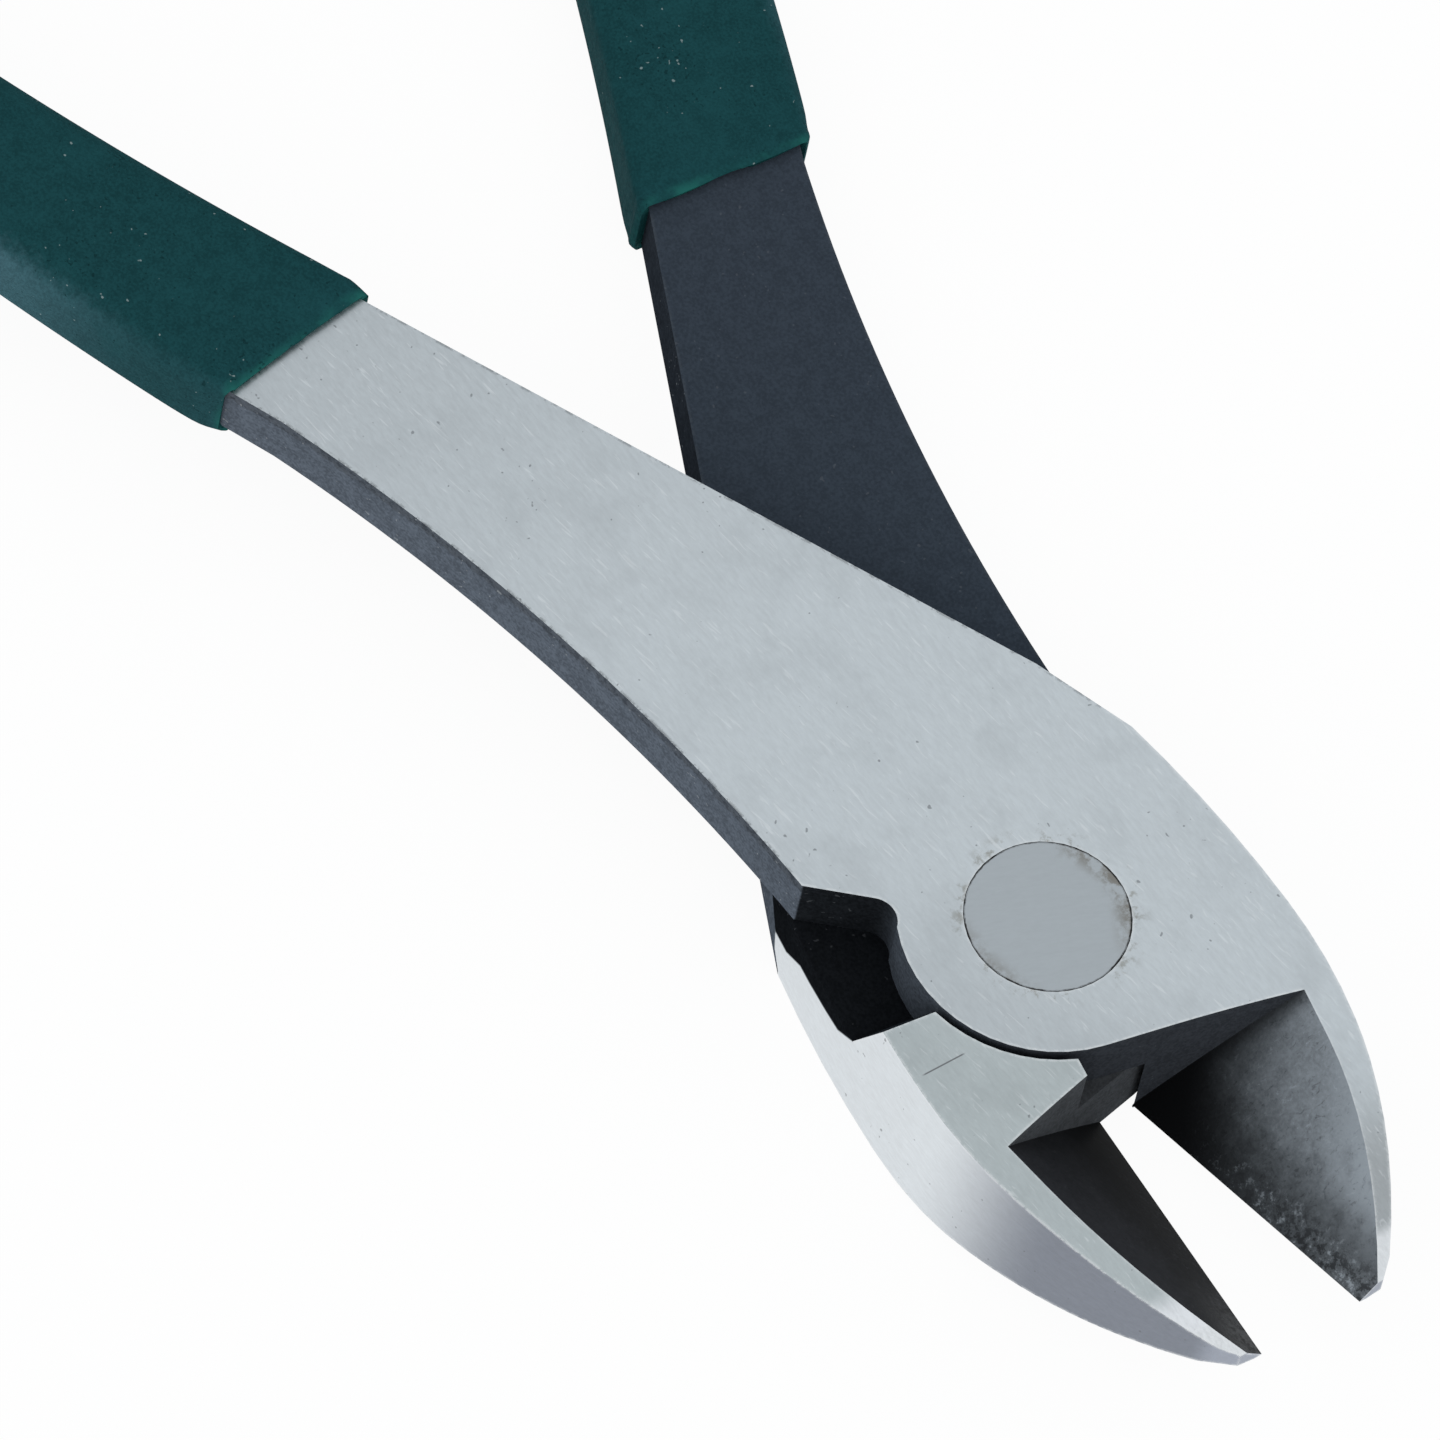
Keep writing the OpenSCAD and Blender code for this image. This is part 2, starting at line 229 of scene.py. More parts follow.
class VinylSettings(bpy.types.PropertyGroup):
    """Shape and finish of the dipped grips"""

    colour: bpy.props.FloatVectorProperty(
        name="Vinyl", description="Colour of the dipped coat",
        subtype="COLOR", size=3, min=0.0, max=1.0, default=(0.0087, 0.048, 0.054))
    lip: bpy.props.FloatVectorProperty(
        name="Lip", description="Colour of the coat where it thins out at its front edge",
        subtype="COLOR", size=3, min=0.0, max=1.0, default=(0.016, 0.118, 0.104))
    # Painted light: the outer side's paler colour stands in for the lamp's light falling on that side
    painted_light: bpy.props.FloatVectorProperty(
        name="Painted light side", description="Colour of the coat's outer side, rubbed pale by the hand",
        subtype="COLOR", size=3, min=0.0, max=1.0, default=(0.064, 0.142, 0.172))
    shoulder: bpy.props.FloatProperty(
        name="Shoulder", description="How far the grip's rounded edges reach over its faces",
        subtype="DISTANCE", unit="LENGTH", min=0.5 * MM, max=4.5 * MM, default=4.0 * MM)
    edge_drop: bpy.props.FloatProperty(
        name="Edge drop", description="How far the grip's rounded edges reach down its sides",
        subtype="DISTANCE", unit="LENGTH", min=0.5 * MM, max=3.0 * MM, default=2.2 * MM)
    lip_edge: bpy.props.FloatProperty(
        name="Edge at the lip",
        description="Radius of the grip's long edges at its lip, where it hugs the steel",
        subtype="DISTANCE", unit="LENGTH", min=0.3 * MM, max=2.0 * MM, default=0.9 * MM)
    wall: bpy.props.FloatProperty(
        name="Wall", description="Thickness of the coat",
        subtype="DISTANCE", unit="LENGTH", min=0.2 * MM, max=1.5 * MM, default=0.75 * MM)
    lip_unevenness: bpy.props.FloatProperty(
        name="Lip unevenness", description="How far the coat's front edge wanders",
        subtype="DISTANCE", unit="LENGTH", min=0.0, max=0.5 * MM, default=0.07 * MM)
    lip_thinning: bpy.props.FloatProperty(
        name="Lip thinning", description="How much thinner the coat is at its front edge",
        subtype="DISTANCE", unit="LENGTH", min=0.0, max=0.6 * MM, default=0.35 * MM)
    lip_radius: bpy.props.FloatProperty(
        name="Lip radius", description="Rounding of the coat's front edge",
        subtype="DISTANCE", unit="LENGTH", min=0.05 * MM, max=0.5 * MM, default=0.13 * MM)


class StageSettings(bpy.types.PropertyGroup):
    """Floor and light"""

    floor_size: bpy.props.FloatProperty(
        name="Floor size", description="Side of the square floor",
        subtype="DISTANCE", unit="LENGTH", min=1.0, max=20.0, default=6.0)
    floor_white: bpy.props.FloatProperty(
        name="White share", description="Share of plain white in the floor that the camera sees",
        subtype="FACTOR", min=0.0, max=1.0, default=0.94)
    sky: bpy.props.FloatProperty(
        name="Light above", description="Strength of the room's light from above",
        min=0.0, max=3.0, default=0.9)
    horizon: bpy.props.FloatProperty(
        name="Light round about", description="Strength of the room's light from the sides",
        min=0.0, max=3.0, default=0.75)
    lamp_power: bpy.props.FloatProperty(
        name="Side lamp", description="Power of the large lamp beside the tips",
        subtype="POWER", unit="POWER", min=0.0, max=200.0, default=10.0)


def feed(tree, socket, value):
    """Links a socket to another one, or sets its value."""
    if isinstance(value, bpy.types.NodeSocket):
        tree.links.new(value, socket)
    else:
        socket.default_value = value


def add_node(tree, kind, inputs=None, **settings):
    """Adds a node with its settings and inputs."""
    made = tree.nodes.new(kind)
    for name, value in settings.items():
        setattr(made, name, value)
    for name, value in (inputs or {}).items():
        feed(tree, made.inputs[name], value)
    return made


def calc(tree, operation, a, b=0.0):
    """One sum of two values."""
    return add_node(tree, "ShaderNodeMath", {0: a, 1: b}, operation=operation).outputs[0]


def both(tree, first, *others):
    """Product of masks."""
    for other in others:
        first = calc(tree, "MULTIPLY", first, other)
    return first


def either(tree, first, *others):
    """Largest of several masks."""
    for other in others:
        first = calc(tree, "MAXIMUM", first, other)
    return first


def without(tree, mask, other):
    """Mask with another one taken out."""
    return both(tree, mask, calc(tree, "SUBTRACT", 1.0, other))


def span(tree, value, low, high, start=0.0, end=1.0):
    """Value between low and high, taken smoothly from start to end."""
    made = add_node(
        tree, "ShaderNodeMapRange",
        {"Value": value, "From Min": low, "From Max": high, "To Min": start, "To Max": end},
        interpolation_type="SMOOTHSTEP")
    return made.outputs["Result"]


def blend(tree, share, a, b):
    """Colour a, turning to colour b with share."""
    return add_node(tree, "ShaderNodeMix", {0: share, 6: a, 7: b}, data_type="RGBA").outputs[2]


def level(tree, share, a, b):
    """Value a, turning to value b with share."""
    return add_node(tree, "ShaderNodeMix", {0: share, 2: a, 3: b}, data_type="FLOAT").outputs[0]


def noise(tree, vector, scale, detail=2.0, rough=0.5, warp=0.0):
    """Even noise from 0 to 1."""
    made = add_node(
        tree, "ShaderNodeTexNoise",
        {"Vector": vector, "Scale": scale, "Detail": detail, "Roughness": rough, "Distortion": warp})
    return made.outputs["Fac"]


def measure(tree, vector, direction):
    """How far a place lies along a direction."""
    made = add_node(tree, "ShaderNodeVectorMath", {0: vector, 1: direction}, operation="DOT_PRODUCT")
    return made.outputs["Value"]


def beyond(tree, vector, direction, start):
    """How far a place lies along a direction, beyond a start."""
    return calc(tree, "SUBTRACT", measure(tree, vector, direction), start)


def shift(tree, value, pattern, reach):
    """Value moved on by a pattern, up to a reach."""
    return calc(tree, "ADD", value, calc(tree, "MULTIPLY", pattern, reach))


def stretch(tree, vector, factors):
    """Coordinates drawn out by a factor along each axis."""
    made = add_node(tree, "ShaderNodeVectorMath", {0: vector, 1: factors}, operation="MULTIPLY")
    return made.outputs["Vector"]


def turn_flat(tree, vector, angle):
    """Coordinates turned in the plane of the tool."""
    made = add_node(
        tree, "ShaderNodeVectorRotate", {"Vector": vector, "Angle": angle}, rotation_type="Z_AXIS")
    return made.outputs["Vector"]


def from_axis(tree, vector):
    """How far a place lies from the rivet's axis."""
    level_part = stretch(tree, vector, (1.0, 1.0, 0.0))
    made = add_node(tree, "ShaderNodeVectorMath", {0: level_part}, operation="LENGTH")
    return made.outputs["Value"]


def line(tree, value, start, height, slope):
    """Straight line through a point, at a value."""
    return calc(tree, "ADD", calc(tree, "MULTIPLY", calc(tree, "SUBTRACT", value, start), slope), height)


def rgba(colour, factor=1.0):
    """Colour made lighter or darker by a factor, with its alpha."""
    return (*(min(c * factor, 1.0) for c in colour), 1.0)


def vary(tree, share, colour, low, high):
    """Colour that runs from a darker to a lighter tone of itself."""
    return blend(tree, share, rgba(colour, low), rgba(colour, high))


def new_group(name, inputs, outputs):
    """Empty shader group with named sockets, and its two end nodes."""
    tree = bpy.data.node_groups.new(name, "ShaderNodeTree")
    for socket, kind in inputs:
        tree.interface.new_socket(socket, in_out="INPUT", socket_type=kind)
    for socket in outputs:
        tree.interface.new_socket(socket, in_out="OUTPUT", socket_type="NodeSocketFloat")
    return tree, tree.nodes.new("NodeGroupInput").outputs, tree.nodes.new("NodeGroupOutput").inputs


def place_group(tree, group, **inputs):
    """Puts a shader group into a material."""
    made = add_node(tree, "ShaderNodeGroup", node_tree=group)
    for name, value in inputs.items():
        feed(tree, made.inputs[name], value)
    return made.outputs


def grinding_lines():
    """Fine lines of a ground face, bright streaks along and a little across them, and soft blotches."""
    tree, start, end = new_group(
        "Grinding lines", [("Vector", "NodeSocketVector"), ("Angle", "NodeSocketFloat")],
        ("Tone", "Streak", "Blotch"))
    here = start["Vector"]
    grain = turn_flat(tree, here, calc(tree, "MULTIPLY", start["Angle"], -1.0))
    fine = stretch(tree, grain, (1700.0, 5400.0, 5400.0))
    coarse = stretch(tree, grain, (560.0, 3000.0, 3000.0))
    crossing = stretch(tree, turn_flat(tree, grain, SCRATCH_TURN), (420.0, 3600.0, 3600.0))
    feed(tree, end["Tone"], level(
        tree, 0.45, noise(tree, fine, 1.0, 3.0, 0.6, 0.5), noise(tree, coarse, 1.0, 2.0, 0.5, 0.8)))
    streaks = both(tree, span(tree, noise(tree, coarse, 1.5, 1.0, 0.5, 0.6), 0.66, 0.76),
                   span(tree, noise(tree, here, 120.0, 2.0), 0.35, 0.6))
    scratches = span(tree, noise(tree, crossing, 1.3, 1.0, 0.5, 0.4), 0.66, 0.74)
    feed(tree, end["Streak"], either(tree, streaks, scratches))
    feed(tree, end["Blotch"], noise(tree, here, 190.0, 5.0, 0.65))
    return tree


def specks():
    """Small scattered marks, thicker in some places than in others."""
    tree, start, end = new_group(
        "Specks",
        [("Vector", "NodeSocketVector"), ("Scale", "NodeSocketFloat"), ("Share", "NodeSocketFloat")],
        ("Mask",))
    grains = noise(tree, start["Vector"], start["Scale"], 1.0)
    patches = noise(tree, start["Vector"], 160.0, 1.0)
    low = calc(tree, "SUBTRACT", 0.86, calc(tree, "MULTIPLY", start["Share"], patches))
    feed(tree, end["Mask"], span(tree, grains, low, calc(tree, "ADD", low, 0.04)))
    return tree


def grainy_skin():
    """Fine grain over soft lumps."""
    tree, start, end = new_group(
        "Grainy skin", [("Vector", "NodeSocketVector"), ("Scale", "NodeSocketFloat")], ("Tone", "Height"))
    grain = noise(tree, start["Vector"], start["Scale"], 3.0, 0.6)
    lumps = noise(tree, start["Vector"], calc(tree, "MULTIPLY", start["Scale"], 0.22), 2.0)
    feed(tree, end["Tone"], span(tree, level(tree, 0.3, grain, lumps), 0.36, 0.64))
    feed(tree, end["Height"], level(tree, 0.5, grain, lumps))
    return tree


GROUPS = {}


def shared_group(make):
    """Builds a shader group once."""
    if make.__name__ not in GROUPS:
        GROUPS[make.__name__] = make()
    return GROUPS[make.__name__]


def new_material(name):
    """Material with its surface shader, its tree and its coordinates."""
    material = bpy.data.materials.new(name)
    material.use_nodes = True
    tree = material.node_tree
    tree.nodes.clear()
    shader = tree.nodes.new("ShaderNodeBsdfPrincipled")
    output = tree.nodes.new("ShaderNodeOutputMaterial")
    tree.links.new(shader.outputs[0], output.inputs["Surface"])
    return material, tree, shader, tree.nodes.new("ShaderNodeTexCoord").outputs


def steel_zones(tree, coords):
    """Masks of a half's faces, told apart by their place and their lean."""
    spot = add_node(tree, "ShaderNodeSeparateXYZ", {0: coords["Object"]}).outputs
    x, y, z = spot["X"], spot["Y"], spot["Z"]
    up = add_node(tree, "ShaderNodeSeparateXYZ", {0: coords["Normal"]}).outputs["Z"]
    flat = span(tree, calc(tree, "ABSOLUTE", up), *LEVEL_FACE)
    top = both(tree, span(tree, up, *LEVEL_FACE), span(tree, z, LAP_Z + 0.6 * MM, LAP_Z + 0.8 * MM))
    under = both(tree, span(tree, up, -0.55, -0.6), span(tree, z, LAP_Z - 0.05 * MM, LAP_Z - 0.1 * MM))
    hollow = both(tree, span(tree, up, 0.5, 0.55), span(tree, up, *reversed(LEVEL_FACE)))
    tip = span(tree, x, TIP_X - 0.2 * MM, TIP_X)
    side = both(tree, span(tree, up, 0.04, 0.06), span(tree, up, 0.25, 0.2))

    # Behind the rivet a flank is ground up to a broken line, and black above it
    height = level(tree, span(tree, z, LAP_Z - 0.02 * MM, LAP_Z + 0.02 * MM),
                   z, calc(tree, "SUBTRACT", HEAD_TOP, z))
    ground_to = calc(tree, "MINIMUM", line(tree, x, *FLANK_TOP), line(tree, x, *FLANK_REAR))
    ground_to = either(tree, ground_to, line(tree, x, *FLANK_FOOT), line(tree, x, *FLANK_FRONT))
    above = span(tree, calc(tree, "SUBTRACT", height, ground_to), -0.1 * MM, 0.1 * MM)
    black = both(tree, side, above, span(tree, x, 0.5 * MM, 0.0))
    side = both(tree, side, span(tree, shift(tree, x, height, 0.72), -10.1 * MM, -9.8 * MM))
    flank = either(tree, without(tree, side, black), without(tree, tip, either(tree, flat, hollow)))
    return {
        "x": x, "y": y, "z": z, "up": up, "top": top, "under": under, "hollow": hollow, "flank": flank,
        "black": black,
        "lap": without(tree, flat, either(tree, top, under)),
        "head": span(tree, x, HEEL_X - 0.05 * MM, HEEL_X + 0.05 * MM),
        "joint": span(tree, x, HEEL_X - 2.0 * MM, HEEL_X)}


def ground_colour(tree, here, zones, ground, nose, finish):
    """Ground faces: lines, bright streaks, blotches and small pits, and the painted reflection on the flanks.
    """
    steel = bpy.context.scene.pliers_steel
    x = zones["x"]
    lines = place_group(tree, shared_group(grinding_lines), Vector=here, Angle=steel.grain_angle)
    tone = span(tree, lines["Tone"], 0.25, 0.75)

    # Outer faces: darker round the hub and towards the grip, another colour at the nose, grime at the rivet
    face = vary(tree, tone, ground, 0.93, 1.06)
    hub_dirt = span(tree, measure(tree, here, HUB_SIDE), -1.0 * MM, 9.0 * MM, 0.0, finish["dirt"])
    face = blend(tree, hub_dirt, face, vary(tree, tone, ground, 0.80, 0.92))
    handled = span(tree, x, -20.0 * MM, -62.0 * MM, 0.0, 0.5)
    face = blend(tree, handled, face, vary(tree, tone, ground, 0.66, 0.82))
    face = blend(tree, span(tree, x, *finish["nose"]), face, vary(tree, tone, nose, 0.92, 1.06))
    grime = both(tree, span(tree, noise(tree, here, 760.0, 5.0, 0.75), 0.52, 0.66, 0.0, finish["dirt"]),
                 span(tree, from_axis(tree, here), RIVET_R + 1.5 * MM, RIVET_R))
    face = blend(tree, grime, face, rgba(GRIME))

    # Flanks: painted reflection, bright beside the rivet, darker towards the tip and lighter again right at
    # it
    side = blend(tree, span(tree, x, 8.5 * MM, 19.0 * MM), vary(tree, tone, steel.flank, 0.92, 1.05),
                 vary(tree, tone, steel.painted_flank_shade, 0.9, 1.08))
    side = blend(tree, span(tree, x, 28.2 * MM, 29.8 * MM), side, vary(tree, tone, steel.painted_flank_shade, 1.4, 1.6))
    colour = blend(tree, zones["flank"], face, side)
    facet = both(tree, span(tree, zones["up"], 0.15, 0.35), span(tree, x, 27.6 * MM, 28.6 * MM))
    colour = blend(tree, facet, colour, vary(tree, tone, BRIGHT_FACET, 0.9, 1.08))

    streak = without(tree, both(tree, lines["Streak"], 0.28), zones["flank"])
    colour = blend(tree, streak, colour, rgba(STREAK))
    blotch = without(tree, span(tree, lines["Blotch"], 0.46, 0.72, 0.0, 0.3), zones["flank"])
    colour = blend(tree, blotch, colour, rgba(ground, 0.72))
    pits = place_group(tree, shared_group(specks), Vector=here, Scale=2100.0, Share=0.22)["Mask"]
    return blend(tree, both(tree, pits, 0.6), colour, rgba(PIT)), tone


def sharp_edges(tree):
    """Mask of the strips along the sharp edges of a solid."""
    rounded = add_node(tree, "ShaderNodeBevel", {"Radius": 0.4 * MM}, samples=4).outputs["Normal"]
    plain = tree.nodes.new("ShaderNodeNewGeometry").outputs["Normal"]
    return span(tree, measure(tree, rounded, plain), 0.995, 0.86)


def edge_wear_and_highlights(tree, here, zones, edges, ragged, bright):
    """Ground faces with ragged dark edges along the neck, and light ones round the head that are partly worn
    nicks and partly painted highlight.
    """
    neck = span(tree, zones["x"], HEEL_X, HEEL_X - 2.0 * MM)
    bitten = span(tree, noise(tree, here, 900.0, 5.0, 0.75), 0.47, 0.56)
    bright = blend(tree, both(tree, edges, bitten, neck, 0.85), bright, rgba(BITTEN_EDGE))
    # Painted highlight: light strips along the sharp edges round the head, with worn nicks, more of them
    # towards the tip
    highlight_and_nicks = calc(tree, "ADD", level(tree, ragged, 0.15, 0.7),
                 span(tree, zones["x"], 22.0 * MM, 28.0 * MM, 0.0, 0.2))
    return blend(tree, both(tree, without(tree, edges, neck), highlight_and_nicks), bright, rgba(EDGE_HIGHLIGHT_AND_WEAR))


def scratch_mask(tree, zones, start, end):
    """Mask of one straight scratch across the top of a half."""
    away = calc(tree, "ABSOLUTE", calc(tree, "SUBTRACT", zones["x"], start.x))
    return both(tree, span(tree, away, 0.07 * MM, 0.03 * MM),
                span(tree, zones["y"], start.y, start.y + 0.4 * MM),
                span(tree, zones["y"], end.y, end.y - 0.4 * MM), zones["top"], 0.8)


def dark_colour(tree, here, zones, edges, ragged, skin, walls, throat):
    """Dark walls and slate lap faces, blacker inside the joint: blackened steel there, darkened further by
    painted shade of the recess.
    """
    steel = bpy.context.scene.pliers_steel
    x = zones["x"]

    def grainy(colour, low, high):
        return vary(tree, skin["Tone"], colour, low, high)

    chips = place_group(tree, shared_group(specks), Vector=here, Scale=2600.0, Share=0.24)["Mask"]
    wall = grainy(walls, 0.76, 1.24)
    heel = span(tree, x, HEEL_X - 8.0 * MM, HEEL_X - 4.0 * MM)
    wall = blend(tree, heel, wall, grainy(steel.front_wall, 0.72, 1.15))
    brow = shift(tree, zones["z"], noise(tree, here, 1300.0, 4.0, 0.7), 1.2 * MM)
    wall = blend(tree, span(tree, brow, HEAD_TOP - 0.35 * MM, HEAD_TOP - 0.1 * MM, 0.0, 0.5), wall,
                 vary(tree, ragged, BROW, 0.6, 2.4))
    # Painted shade: the walls in the head, recessed under the other half, take this darker colour
    boss = span(tree, x, -6.4 * MM, -3.6 * MM, 0.0, 0.6)
    soot_and_recess_shade = blend(tree, boss, grainy(steel.soot_and_shade, 0.6, 1.15), grainy(walls, 0.7, 1.1))
    wall = blend(tree, zones["head"], wall, soot_and_recess_shade)
    wall = blend(tree, zones["black"], wall, grainy(steel.soot_and_shade, 0.45, 0.75))
    wall = blend(tree, span(tree, x, 4.0 * MM, 8.0 * MM), wall, grainy(throat, 0.8, 1.2))
    wall = blend(tree, both(tree, chips, level(tree, zones["head"], 0.6, 0.12)), wall, rgba(WALL_CHIP))

    slate = grainy(steel.lap, 0.85, 1.15)
    # Painted shade: the lap faces inside the joint, in the other half's shadow, are darkened
    slate = blend(tree, zones["joint"], slate, grainy(steel.soot_and_shade, 0.45, 0.75))
    slate = blend(tree, span(tree, x, 7.0 * MM, 8.5 * MM), slate, grainy(throat, 0.5, 0.75))
    slate = blend(tree, both(tree, chips, 0.1), slate, rgba(LAP_CHIP))
    # Painted highlight: thin lighter lines along the lap faces' sharp edges, kept out of the joint
    painted_light = both(tree, without(tree, edges, zones["joint"]), ragged, 0.3)
    slate = blend(tree, painted_light, slate, rgba(LAP_EDGE_HIGHLIGHT))
    return blend(tree, zones["lap"], wall, slate)


def hollow_colour(tree, here, skin, colour, finish):
    """Hollow of a jaw: black oxide with painted shade in the throat that fades out towards the nose, painted
    light at the nose, and worn in grains along the edge.
    """
    mirrored = add_node(tree, "ShaderNodeVectorMath", {0: here}, operation="ABSOLUTE").outputs["Vector"]
    rise = beyond(tree, mirrored, EDGE_RISE, EDGE_HEEL.dot(EDGE_RISE))
    run = beyond(tree, mirrored, EDGE_RUN, EDGE_HEEL.dot(EDGE_RUN))
    outward = beyond(tree, mirrored, NOSE_WAY, NOSE_START)
    crease = beyond(tree, mirrored, CREASE_WAY, CREASE_START)
    dark = finish["dark"]
    # Painted shade: the hollow darkens towards the throat, where the other jaw hides it; painted light
    # brightens it at the nose
    unshaded = span(tree, outward, *finish["lit"])
    scoop = blend(tree, unshaded, rgba(dark), vary(tree, skin["Tone"], colour, 0.88, 1.12))
    scoop = blend(tree, span(tree, outward, 14.0 * MM, 21.0 * MM), scoop, rgba(colour, finish["nose_light"]))

    # Smoke, pits and flecks
    smoky = noise(tree, here, 640.0, 6.0, 0.7)
    scoop = blend(tree, span(tree, smoky, 0.5, 0.32, 0.0, 0.2), scoop, rgba(dark))
    scoop = blend(tree, both(tree, unshaded, span(tree, smoky, 0.5, 0.7, 0.0, 0.24)), scoop, rgba(colour, 1.5))
    pits = place_group(tree, shared_group(specks), Vector=here, Scale=2200.0, Share=0.26)["Mask"]
    scoop = blend(tree, both(tree, pits, 0.25), scoop, rgba(dark))
    flecks = noise(tree, stretch(tree, here, (1.6, 1.0, 0.6)), 1700.0, 4.0, 0.75, 0.6)
    bright_flecks = both(tree, unshaded, span(tree, flecks, 0.57, 0.72, 0.0, 0.42))
    scoop = blend(tree, bright_flecks, scoop, rgba(colour, 1.9))
    scoop = blend(tree, span(tree, flecks, 0.43, 0.3, 0.0, 0.42), scoop, rgba(dark))

    # Shade in the crease, and wear along the cutting edge
    scoop = blend(tree, span(tree, crease, 1.6 * MM, -0.2 * MM, 0.0, finish["crease"]), scoop, rgba(dark))
    low_part = shift(tree, rise, smoky, 3.0 * MM)
    scoop = blend(tree, span(tree, low_part, 8.0 * MM, 3.5 * MM, 0.0, 0.62), scoop, rgba(dark))
    worn = both(tree, span(tree, run, 14.0 * MM, 22.0 * MM, 0.0, finish["wear"]),
                span(tree, rise, 5.0 * MM, 0.0))
    scoop = blend(tree, worn, scoop, vary(tree, skin["Tone"], WORN_EDGE, 0.8, 1.2))
    grains = noise(tree, here, 1500.0, 5.0, 0.75)
    strip = both(tree, unshaded, span(tree, low_part, 4.6 * MM, 2.2 * MM))
    scoop = blend(tree, both(tree, strip, span(tree, grains, 0.5, 0.42, 0.0, 0.75)), scoop, rgba(dark, 2.0))
    return blend(tree, both(tree, strip, span(tree, grains, 0.54, 0.64, 0.0, 0.5)), scoop, rgba(colour, 2.2))


def steel_material(name, ground, nose, walls, throat, hollow, finish):
    """Forged half: ground outer faces, flanks with painted reflection, blackened hollow with painted shade,
    grainy walls and slate lap faces with painted shade in the joint.
    """
    material, tree, shader, coords = new_material(name)
    here = coords["Object"]
    zones = steel_zones(tree, coords)
    edges = sharp_edges(tree)
    ragged = span(tree, noise(tree, here, 1900.0, 4.0, 0.7), 0.43, 0.52)
    skin = place_group(tree, shared_group(grainy_skin), Vector=here, Scale=4200.0)

    dark = dark_colour(tree, here, zones, edges, ragged, skin, walls, throat)
    scoop = hollow_colour(tree, here, skin, hollow, finish)
    bright, tone = ground_colour(tree, here, zones, ground, nose, finish)
    for start, end in finish["scratches"]:
        bright = blend(tree, scratch_mask(tree, zones, start, end), bright, rgba(SCRATCH))
    bright = edge_wear_and_highlights(tree, here, zones, edges, ragged, bright)

    shining = either(tree, zones["top"], zones["under"], zones["flank"])
    colour = blend(tree, shining, blend(tree, zones["hollow"], dark, scoop), bright)
    metal = either(tree, shining, both(tree, zones["hollow"], finish["polish"]))
    rough = level(tree, shining, level(tree, zones["hollow"], 0.7, 0.42), level(tree, tone, 0.38, 0.48))
    height = level(tree, either(tree, shining, zones["hollow"]), both(tree, skin["Height"], 0.03 * MM),
                   both(tree, tone, 0.004 * MM))
    bump = add_node(tree, "ShaderNodeBump", {"Distance": 1.0, "Height": height})
    feed(tree, shader.inputs["Base Color"], colour)
    feed(tree, shader.inputs["Metallic"], metal)
    feed(tree, shader.inputs["Roughness"], rough)
    feed(tree, shader.inputs["Normal"], bump.outputs[0])
    shader.inputs["Specular IOR Level"].default_value = 0.0
    return material


def rivet_material(name):
    """Rivet ground flush, with a dark line round it and stains at two sides of its edge."""
    steel = bpy.context.scene.pliers_steel
    material, tree, shader, coords = new_material(name)
    here = coords["Object"]
    away = from_axis(tree, here)
    lines = place_group(tree, shared_group(grinding_lines), Vector=here, Angle=RIVET_GRAIN)
    tone = span(tree, lines["Tone"], 0.2, 0.8)
    colour = vary(tree, tone, steel.rivet, 0.95, 1.04)
    sides = either(tree, span(tree, measure(tree, here, STAIN_SIDE), 2.0 * MM, 4.8 * MM),
                   span(tree, measure(tree, here, FAINT_STAIN_SIDE), 3.6 * MM, 5.6 * MM, 0.0, 0.7))
    stain = both(tree, span(tree, noise(tree, here, 620.0, 5.0, 0.7), 0.42, 0.6), sides,
                 span(tree, away, RIVET_R - 1.6 * MM, RIVET_R - 0.3 * MM))
    colour = blend(tree, both(tree, stain, 0.75), colour, rgba(STAIN))
    ring = span(tree, shift(tree, away, noise(tree, here, 3000.0), 0.1 * MM), RIVET_R - 0.06 * MM, RIVET_R)
    gaps = span(tree, noise(tree, here, 620.0, 4.0, 0.7), 0.38, 0.6, 0.25, 1.0)
    colour = blend(tree, both(tree, ring, gaps), colour, rgba(RIVET_LINE))
    feed(tree, shader.inputs["Base Color"], colour)
    feed(tree, shader.inputs["Roughness"], level(tree, tone, 0.42, 0.5))
    shader.inputs["Metallic"].default_value = 1.0
    return material


